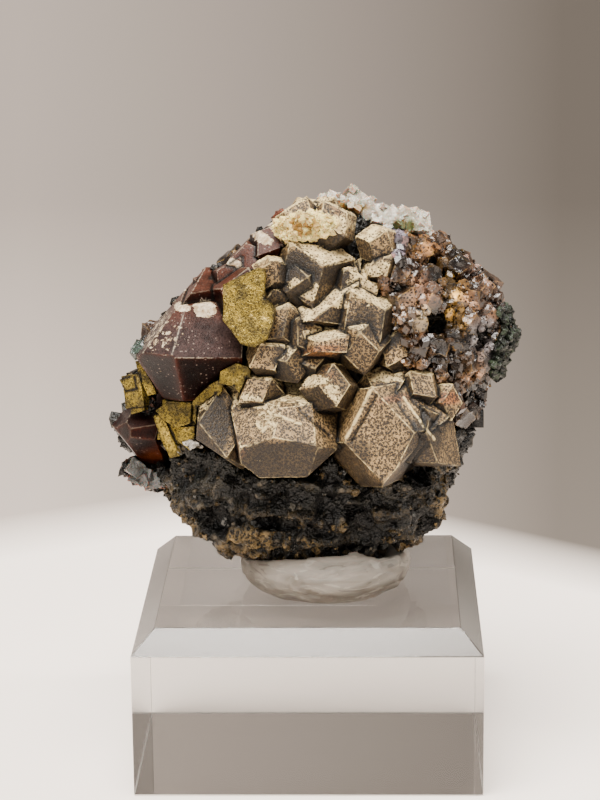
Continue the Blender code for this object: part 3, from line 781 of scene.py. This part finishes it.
# Faces of the tan crystals that look up and still carry little crust.
TAN_BARE = [
    (274, 424, 52, 22, 0, 0.85),
    (380, 420, 34, 50, 0, 1.0),
    (338, 376, 22, 20, 0, 0.8),
    (362, 350, 16, 20, 0, 0.8),
    (300, 262, 14, 30, 0, 0.8),
    (430, 420, 24, 30, 0, 0.8),
]

# Fine lines on the tan crystals, each from one pixel to another: grooves, painted dark as shade, and ridges
# beside them, painted pale as a highlight.
TAN_GROOVES = [
    (352, 440, 377, 395),
    (398, 402, 428, 446),
    (412, 398, 442, 430),
    (425, 446, 405, 476),
    (300, 410, 330, 436),
]
TAN_RIDGES = [
    (346, 438, 373, 388),
    (262, 432, 279, 404),
    (268, 412, 300, 424),
    (404, 398, 434, 440),
]

# Browner and redder places on the tan crystals.
TAN_TINTS = [
    ((322, 351, 22, 6, 5, 1.0), (0.24, 0.10, 0.03)),
    ((450, 398, 12, 7, 0, 1.0), (0.26, 0.10, 0.035)),
    ((240, 448, 6, 10, 0, 0.7), (0.12, 0.06, 0.03)),
    ((398, 398, 20, 4, 10, 0.7), (0.2, 0.08, 0.04)),
]

# Painted light and shade on faces of the tan crystals: an ellipse, then how bright it is painted.
TAN_FACE_LIGHTING = [
    ((382, 434, 26, 46, 0, 1.0), 0.9),
    ((348, 470, 16, 34, -30, 1.0), 0.32),
    ((275, 424, 50, 18, 0, 1.0), 0.9),
    ((285, 464, 46, 22, 5, 1.0), 0.14),
    ((212, 424, 18, 36, 0, 1.0), 0.13),
    ((300, 275, 22, 26, 30, 1.0), 0.13),
    ((340, 274, 22, 12, 0, 1.0), 0.16),
    ((330, 314, 26, 12, -20, 1.0), 0.26),
    ((392, 324, 13, 24, 0, 1.0), 0.12),
    ((366, 322, 12, 20, 0, 1.0), 0.2),
    ((362, 352, 14, 18, 0, 1.0), 0.7),
    ((425, 440, 16, 30, 0, 1.0), 0.22),
    ((290, 340, 18, 20, 0, 1.0), 0.26),
    ((338, 378, 18, 20, 0, 1.0), 0.45),
]

# The thick crust on the top, and the amber place in it.
TOP_CRUST_AT = [(308, 226, 38, 12, 6, 1.0)]
TOP_CRUST = (0.68, 0.52, 0.19)
AMBER_AT = [(303, 226, 17, 8, 0, 1.0)]
AMBER = (0.24, 0.115, 0.005)


def tan_garnets(materials):
    skin = Skin("garnet_cluster", "garnets_tan", 0.25)
    p = skin.points
    crust = smooth_step(0.5, 0.8, skin.up + 0.2 * layered(p, 3.0, 2))
    crust = crust * (1 - patches(skin.spots, TAN_BARE, 0.25))
    crust = np.maximum(crust * 0.8, patches(skin.spots, TAN_CRUST) * (skin.up > 0.1))
    steps = np.round(layered(p, 3.4, 6) * 2.2) * 0.05
    worn = -0.03 * np.exp(-skin.ridge / 0.12)
    seam = -0.22 * np.exp(-skin.valley / 0.25)
    lumps = smooth_step(0.4, 0.8, crust) * (0.12 + 0.22 * layered(p, 0.9, 7))
    wander = skin.spots + 1.2 * np.stack([noise_at(p, 1.5, 40), noise_at(p, 1.5, 41)], 1)
    grooves = 1 - smooth_step(0.8, 2.4, line_distance(wander, TAN_GROOVES))
    to_ridge = line_distance(wander, TAN_RIDGES)
    ridges = 1 - smooth_step(0.8, 2.4, to_ridge)
    skin.drawn = to_ridge / STROKE_REACH
    skin.push(0.03 * layered(p, 0.9, 3) + steps + worn + seam + lumps - 0.28 * grooves + 0.12 * ridges)
    # Painted light and shade: faces that look down are painted darker, as lit from above, each face is a
    # little lighter or darker at random, and the table's faces get their own painted brightness.
    shade = (0.7 + 0.6 * skin.lot) * (0.14 + 0.86 * smooth_step(-0.35, 0.4, skin.up))
    for ellipse, bright in TAN_FACE_LIGHTING:
        inside = patches(skin.spots, [ellipse], 0.15)
        shade = shade * (1 - inside) + bright * inside
    tint = evenly(len(p), TAN) * shade[:, None]
    tint = blend(tint, TAN_BROWN, 0.55 * smooth_step(0.3, 0.7, layered(p, 4.0, 30)))
    tint = tint_by(skin.spots, tint, TAN_TINTS)
    # Painted shade in the hollows between the crystals.
    tint = tint * (1 - 0.8 * np.exp(-skin.valley / 0.9))[:, None]
    marks = np.zeros((len(p), 3))
    marks[:, 0] = crust
    # Pale sharp edges, a painted highlight, stronger on the faces that are painted brighter.
    marks[:, 1] = smooth_step(-0.5, 0.2, noise_at(p, 1.8, 9)) * np.clip(0.3 + shade, 0, 1)
    marks[:, 2] = 0.9 * grooves
    skin.finish(materials["tan"], tint, marks)
    top_crust(materials)


def top_crust(materials):
    spots, normals = front_spots(["garnet_cluster"], 620, 60000, 60, TOP_CRUST_AT)
    chance = np.random.default_rng(61)
    sizes = 0.28 + 0.5 * chance.random(len(spots)) ** 2
    tints = varied(chance, len(spots), TOP_CRUST, 0.6, 1.2)
    tints = blend(tints, AMBER, patches(pixels(spots), AMBER_AT) * (chance.random(len(spots)) > 0.25))
    grains("top_crust", "chip", spots + normals * 0.1, sizes, tints, 62, materials["crust"],
           0.5)


# Dark garnets

# Dark garnet colours: their own near-black, painted light on the faces that look up, redder on the highest
# crystals, and a red-brown along edges of the lower faces.
DARK_BELOW = (0.004, 0.001, 0.001)
DARK_LIT_ABOVE = (0.034, 0.020, 0.018)
DARK_LIT_TOP = (0.05, 0.016, 0.009)
DARK_EDGE = (0.05, 0.010, 0.004)

# The red glow painted low in the left tip, and the painted light on its upper faces.
TIP_GLOW_AT = [(143, 468, 26, 12, 35, 1.0)]
TIP_GLOW = (0.06, 0.013, 0.003)
TIP_LIT_ABOVE = (0.012, 0.003, 0.002)

# Pale crust on the dark crystals.
DARK_CRUST = [
    (158, 330, 26, 24, -45, 0.36),
    (150, 322, 10, 8, -45, 0.55),
    (205, 309, 12, 9, -10, 1.0),
    (182, 307, 8, 5, -10, 1.0),
    (180, 285, 8, 4, -40, 0.6),
    (232, 262, 12, 4, -20, 1.0),
    (262, 238, 12, 6, -30, 0.8),
    (272, 224, 8, 5, -30, 1.0),
]

# Small lumps at the top and at the left edge. Those further left than the pixel are green.
LUMPS_AT = [(276, 213, 9, 7, 0, 1.0), (131, 346, 9, 8, 0, 1.0)]
LUMP_NODES = ("garnet_dark_left", "matrix", "garnet_crust", "garnet_cluster")
LUMP_RED = (0.12, 0.035, 0.018)
LUMP_GREEN = (0.02, 0.035, 0.026)
GREEN_ACROSS = 200

LEFT_CRYSTALS = ("garnet_dark_left", "garnet_left_tip", "pyrite_left", "calcite_left")
BROKEN_BLACK = (0.010, 0.009, 0.007)
BROKEN_BROWN = (0.07, 0.03, 0.018)
BROKEN_PALE = (0.16, 0.12, 0.07)


def dark_garnets(materials):
    for node, name in (("garnet_dark_left", "garnets_dark"), ("garnet_left_tip", "garnet_tip")):
        skin = Skin(node, name, 0.23)
        p = skin.points
        worn = -0.05 * np.exp(-skin.ridge / 0.14)
        skin.push(0.03 * layered(p, 1.2, 3) + worn - 0.15 * np.exp(-skin.valley / 0.2))
        tint = evenly(len(p), DARK_BELOW)
        # Faces that look up are painted lighter, as lit from above.
        upper = smooth_step(66, 70, p[:, 2] + noise_at(p, 3, 60))
        lit_upper_faces = blend(evenly(len(p), DARK_LIT_ABOVE), DARK_LIT_TOP, upper)
        tint += (lit_upper_faces - tint) * smooth_step(0.2, 0.5, skin.up)[:, None]
        tint = blend(tint, DARK_EDGE, 0.8 * np.exp(-skin.ridge / 0.35) * (skin.up < 0.25))
        if node == "garnet_left_tip":
            tint = blend(tint, TIP_GLOW, 0.9 * patches(skin.spots, TIP_GLOW_AT, 0.6))
            # Painted light on the tip's upper faces, dimmer than on the other dark crystals.
            tint = blend(tint, TIP_LIT_ABOVE, 0.8 * smooth_step(-0.2, 0.4, skin.up))
        marks = np.zeros((len(p), 3))
        marks[:, 0] = patches(skin.spots, DARK_CRUST) * (skin.up > 0.1)
        # Pale sharp edges on the faces that look up: a painted highlight.
        marks[:, 1] = 0.35 * smooth_step(0.0, 0.4, skin.up)
        skin.finish(materials["dark"], tint, marks)
    spots, _ = front_spots(LUMP_NODES, 150, 30000, 70, LUMPS_AT, -0.3)
    tints = blend(evenly(len(spots), LUMP_RED), LUMP_GREEN, pixels(spots)[:, 0] < GREEN_ACROSS)
    sizes = np.random.default_rng(71).uniform(0.4, 0.9, len(spots))
    grains("lumps", "chip", spots, sizes, tints, 72, materials["druse"], 0.3)


def broken_backs(materials):
    """Rough rock on the sides of the left crystals that were broken off and look back."""
    spots, normals = spots_on(LEFT_CRYSTALS, 5000, 80)
    chance = np.random.default_rng(81)
    back = (normals[:, 1] > 0.6) & (chance.random(len(spots)) > 0.6)
    spots, normals = spots[back], normals[back]
    sizes = 0.35 + 0.8 * chance.random(len(spots)) ** 2
    shade = chance.random(len(spots))
    tints = evenly(len(spots), BROKEN_BLACK) * (0.5 + shade)[:, None]
    tints = blend(tints, BROKEN_BROWN, shade > 0.75)
    tints = blend(tints, BROKEN_PALE, shade > 0.95)
    spots = spots - normals * (0.35 * sizes)[:, None]
    grains("broken_backs", "chip", spots, sizes, tints, 82, materials["rock"], 0.45)


# Druse

DRUSE = (0.10, 0.06, 0.042)

# Colours of the small crystals on the right.
DRUSE_TINTS = [
    ((430, 300, 60, 90, 0, 1.0), (0.135, 0.068, 0.032)),
    ((372, 238, 22, 26, 0, 1.0), (0.075, 0.06, 0.075)),
    ((404, 246, 26, 12, 0, 0.9), (0.24, 0.11, 0.03)),
    ((428, 285, 14, 24, 20, 0.8), (0.19, 0.10, 0.06)),
    ((452, 300, 11, 36, 10, 1.0), (0.30, 0.165, 0.035)),
    ((424, 322, 18, 12, 0, 0.9), (0.42, 0.31, 0.17)),
    ((397, 341, 13, 10, 0, 1.0), (0.34, 0.13, 0.02)),
    ((481, 345, 15, 26, 0, 0.9), (0.19, 0.17, 0.17)),
    ((460, 370, 26, 24, 0, 1.0), (0.34, 0.19, 0.10)),
    ((402, 300, 14, 26, 0, 0.8), (0.20, 0.12, 0.07)),
    ((420, 360, 18, 16, 0, 0.8), (0.26, 0.13, 0.05)),
    ((470, 262, 16, 18, 0, 0.9), (0.14, 0.075, 0.05)),
]

# Painted shade in deep gaps between the small crystals, and where ochre crust joins them.
DRUSE_PAINTED_SHADE = [
    (440, 315, 9, 9, 0, 1.0),
    (437, 275, 8, 8, 0, 0.9),
    (457, 400, 9, 14, 0, 1.0),
    (478, 300, 7, 9, 0, 0.7),
]
DRUSE_WEB = [(452, 308, 20, 46, 8, 1.0), (400, 245, 30, 12, 0, 0.8)]

# Lilac crystals beside the top. Some are pink, and those above the pixel are red.
LILAC_AT = [(376, 242, 24, 26, 0, 1.0), (365, 217, 18, 8, 10, 1.0)]
LILAC = (0.085, 0.07, 0.085)
LILAC_PINK = (0.30, 0.17, 0.16)
LILAC_RED = (0.13, 0.045, 0.025)
RED_DOWN = 226

# Green grains at the right edge.
FUZZ_AT = [(508, 360, 14, 30, 0, 1.0), (503, 318, 6, 14, 15, 0.4)]
FUZZ_GREEN = (0.016, 0.022, 0.013)


def druse_tints(places, lot):
    """The region's colour, lighter and darker by crystal and by each place's number of 0 to 1."""
    wander = 5 * np.stack([noise_at(places, 2.4, 3), noise_at(places, 2.4, 7)], 1)
    tint = tint_by(pixels(places) + wander, evenly(len(places), DRUSE), DRUSE_TINTS)
    crystal = np.clip(0.8 + 1.5 * noise_at(places, 3.0, 11), 0.15, 2.1)
    # Each place's number paints its face lighter or darker: painted light and shade, some faces lit and
    # some in shade.
    return tint * (crystal * (0.18 + 1.35 * lot ** 2))[:, None]


def small_garnets(materials):
    skin = Skin("garnet_crust", "garnets_small", 0.38)
    p = skin.points
    broken = 0.30 * ridged(p, 1.7, 21) + 0.15 * layered(p, 0.9, 3)
    skin.push(broken - 0.15 - 0.06 * np.exp(-skin.ridge / 0.15))
    marks = np.zeros((len(p), 3))
    web = patches(skin.spots, DRUSE_WEB, 0.5)
    marks[:, 0] = 0.62 * web * np.exp(-skin.valley / 1.2)
    marks[:, 1] = 0.5 * skin.lot
    # Painted shade in the hollows and deep gaps between the small crystals.
    marks[:, 2] = np.maximum(0.97 * np.exp(-((skin.valley / 0.6) ** 2)) * (1 - 0.6 * web),
                             patches(skin.spots, DRUSE_PAINTED_SHADE, 0.3) * 0.95)
    skin.finish(materials["druse"], druse_tints(p, skin.lot), marks)
    spots, _ = surface_spots("garnet_crust", 6500, 14)
    depth = np.array([skin.valleys.find(Vector(spot * MM))[2] / MM for spot in spots])
    spots = spots[depth < 0.9]
    chance = np.random.default_rng(15)
    sizes = 0.3 + 0.85 * chance.random(len(spots)) ** 2
    tints = druse_tints(spots, chance.random(len(spots)))
    grains("druse", "dodecahedron", spots, sizes, tints, 16, materials["druse"], 0.3)
    spots, _ = front_spots(["garnet_crust", "garnet_cluster"], 260, 40000, 17, LILAC_AT)
    sizes = chance.uniform(0.5, 1.15, len(spots))
    tints = varied(chance, len(spots), LILAC, 0.4, 1.7)
    tints = blend(tints, LILAC_PINK, chance.random(len(spots)) > 0.78)
    tints = blend(tints, LILAC_RED, pixels(spots)[:, 1] < RED_DOWN)
    grains("lilac_crystals", "dodecahedron", spots, sizes, tints, 18, materials["druse"],
           0.25)
    spots, normals = front_spots(["garnet_crust", "matrix"], 520, 40000, 19, FUZZ_AT, -0.5)
    out = chance.uniform(0, 1.1, (len(spots), 1))
    tints = varied(chance, len(spots), FUZZ_GREEN, 0.5, 2.0)
    grains("edge_fuzz", "chip", spots + normals * out, chance.uniform(0.35, 0.9, len(spots)), tints, 20,
           materials["rock"], 0.5)


# Pyrite

PYRITE_GOLD = (0.27, 0.19, 0.028)
PYRITE_DULL = (0.085, 0.062, 0.014)
PYRITE_HIGHLIGHT = (0.46, 0.34, 0.10)
PYRITE_EDGE = (0.015, 0.009, 0.003)

# Pale crust on the plates.
PYRITE_CRUST = [
    (193, 450, 15, 11, 0, 0.85),
    (222, 450, 12, 8, 30, 0.6),
]


def pyrites(materials):
    for node in ("pyrite_upper", "pyrite_lower", "pyrite_middle", "pyrite_left"):
        skin = Skin(node, node + "_plates", 0.2)
        p = skin.points
        steps = 0.07 * np.round(2.0 * layered(p, 2.4, 33))
        skin.push(steps + 0.06 * layered(p, 0.8, 3) - 0.05 * np.exp(-skin.ridge / 0.14))
        tint = evenly(len(p), PYRITE_GOLD) * (0.75 + 0.4 * skin.lot)[:, None]
        tint = blend(tint, PYRITE_DULL, smooth_step(-0.1, 0.45, layered(p, 1.8, 30)))
        # Painted highlights: brighter yellow patches.
        tint = blend(tint, PYRITE_HIGHLIGHT, 0.6 * smooth_step(0.25, 0.6, layered(p, 1.1, 35)))
        worn = 0.4 if node != "pyrite_upper" else 1.0
        side = worn * np.exp(-skin.ridge / 0.35) * (0.7 + 0.6 * noise_at(p, 1.5, 3))
        tint = blend(tint, PYRITE_EDGE, np.clip(side, 0, 1))
        marks = np.zeros((len(p), 3))
        marks[:, 0] = patches(skin.spots, PYRITE_CRUST)
        marks[:, 2] = 0.6 * smooth_step(0.45, 0.7, layered(p, 1.2, 50))
        skin.finish(materials["pyrite"], tint, marks)


# Calcite: for each node its colour and how many small cubes stand on it.

CALCITES = {
    "calcite_top": ((0.42, 0.39, 0.32), 70),
    "calcite_left": ((0.10, 0.10, 0.095), 30),
}
CALCITE_TINTS = [
    ((350, 209, 20, 5, 5, 1.0), (0.22, 0.14, 0.03)),
    ((405, 227, 14, 9, 0, 1.0), (0.10, 0.11, 0.035)),
    ((330, 206, 8, 6, 0, 0.8), (0.45, 0.33, 0.16)),
]


def calcites(materials):
    for node, (colour, cubes) in CALCITES.items():
        skin = Skin(node, node + "_crystals", 0.18)
        p = skin.points
        worn = -0.08 * np.exp(-skin.ridge / 0.2)
        skin.push(0.12 * layered(p, 1.3, 3) + worn - 0.2 * np.exp(-skin.valley / 0.3))
        tint = evenly(len(p), colour) * (0.8 + 0.35 * skin.lot)[:, None]
        tint = tint_by(skin.spots, tint, CALCITE_TINTS)
        skin.finish(materials["calcite"], tint, np.zeros((len(p), 3)))
        spots, normals = surface_spots(node, cubes, 30)
        chance = np.random.default_rng(31)
        tints = tint_by(pixels(spots), varied(chance, len(spots), colour, 0.6, 1.2), CALCITE_TINTS)
        sizes = chance.uniform(0.45, 1.1, len(spots))
        sunk = spots - normals * (0.55 * sizes)[:, None]
        grains(node + "_grains", "cube", sunk, sizes, tints, 32, materials["calcite"], 0.4)


# Stage and lights

# How far the floor lies below the block, in millimetres.
FLOOR_DROP = 0.1

PALE_FLOOR = (0.86, 0.775, 0.70)
# Painted shade further back, where the light falls off: left, middle and right.
FAR_SHADE_LEFT = (0.34, 0.293, 0.26)
FAR_SHADE_MIDDLE = (0.094, 0.081, 0.069)
FAR_SHADE_RIGHT = (0.36, 0.32, 0.28)

LIGHT_AIM = (0, 0, 0.05)
WORLD_COLOUR = (1.0, 0.96, 0.91, 1)
WORLD_STRENGTH = 0.45


def stage_material():
    """Pale near the object, and further back grey that darkens to the right.

    The pale part ends at two slanted lines. The grey goes by the direction from a spot below the camera.
    """
    # The stage glows a little with its own colour: painted light, which also shows the floor under the
    # clear block.
    g = Graph("paper", Roughness=0.85, Emission_Strength=0.28, Specular_IOR_Level=0.1)
    place = g.nodes.new("ShaderNodeSeparateXYZ")
    g.links.new(g.place, place.inputs[0])
    x, y = place.outputs["X"], place.outputs["Y"]
    left_edge = g.add(y, g.times(x, -0.54), -0.129)
    right_edge = g.add(y, g.times(x, 0.77), -0.114)
    far = g.step(g.math("MAXIMUM", left_edge, right_edge), -0.012, 0.018)
    sideways = g.math("DIVIDE", g.add(x, -0.0095), g.add(y, 0.4))
    # The grey further back is painted shade, where the light falls off.
    far_shade = g.mix(g.step(sideways, -0.13, 0.07), FAR_SHADE_LEFT, FAR_SHADE_MIDDLE)
    far_shade = g.mix(g.step(sideways, 0.12, 0.4), far_shade, FAR_SHADE_RIGHT)
    colour = g.mix(far, PALE_FLOOR, far_shade)
    g.put(g.shader.inputs["Emission Color"], colour)
    return g.finish(colour)


def add_stage():
    """A floor that bends up into a wall behind the object, in metres."""
    front, bend, radius, side, wall, parts = -5.0, 0.45, 0.3, 4.0, 2.4, 12
    profile = [(front, 0.0), (bend, 0.0)]
    for part in range(1, parts + 1):
        angle = math.radians(90 * part / parts)
        profile.append((bend + radius * math.sin(angle), radius * (1 - math.cos(angle))))
    profile.append((bend + radius, wall))
    bm = bmesh.new()
    rows = [[bm.verts.new((x, y, z - FLOOR_DROP * MM)) for x in (-side, side)] for y, z in profile]
    for low, high in zip(rows, rows[1:]):
        bm.faces.new((low[0], low[1], high[1], high[0]))
    mesh = bpy.data.meshes.new("floor")
    bm.to_mesh(mesh)
    bm.free()
    mesh.shade_smooth()
    floor = bpy.data.objects.new("floor", mesh)
    bpy.context.scene.collection.objects.link(floor)
    mesh.materials.append(stage_material())


def add_light(name, at, size, power, colour):
    data = bpy.data.lights.new(name, "AREA")
    data.shape = "SQUARE"
    data.size = size
    data.energy = power
    data.color = colour
    light = bpy.data.objects.new(name, data)
    light.location = at
    light.rotation_euler = (Vector(at) - Vector(LIGHT_AIM)).to_track_quat("Z", "Y").to_euler()
    bpy.context.scene.collection.objects.link(light)


def add_lights():
    world = bpy.data.worlds.new("studio")
    world.use_nodes = True
    world.node_tree.nodes["Background"].inputs["Color"].default_value = WORLD_COLOUR
    world.node_tree.nodes["Background"].inputs["Strength"].default_value = WORLD_STRENGTH
    bpy.context.scene.world = world
    add_light("key", (-0.08, -0.14, 0.62), 0.45, 17.0, (1.0, 0.95, 0.89))
    add_light("side", (0.42, 0.05, 0.32), 0.15, 1.8, (1.0, 0.97, 0.93))
    add_light("front", (-0.25, -0.6, 0.22), 0.25, 1.3, (1.0, 0.97, 0.93))


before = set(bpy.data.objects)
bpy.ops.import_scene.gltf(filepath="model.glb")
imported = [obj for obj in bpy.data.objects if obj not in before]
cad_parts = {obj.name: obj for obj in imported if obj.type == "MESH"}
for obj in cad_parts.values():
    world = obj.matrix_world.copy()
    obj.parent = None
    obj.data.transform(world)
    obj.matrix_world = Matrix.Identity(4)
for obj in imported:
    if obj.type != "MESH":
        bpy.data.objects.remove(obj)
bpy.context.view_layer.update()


def main():
    materials = scene_materials()
    clear_block(materials)
    putty_pad(materials)
    rock(materials)
    tan_garnets(materials)
    dark_garnets(materials)
    broken_backs(materials)
    small_garnets(materials)
    pyrites(materials)
    calcites(materials)
    add_stage()
    add_lights()
    add_camera()


main()
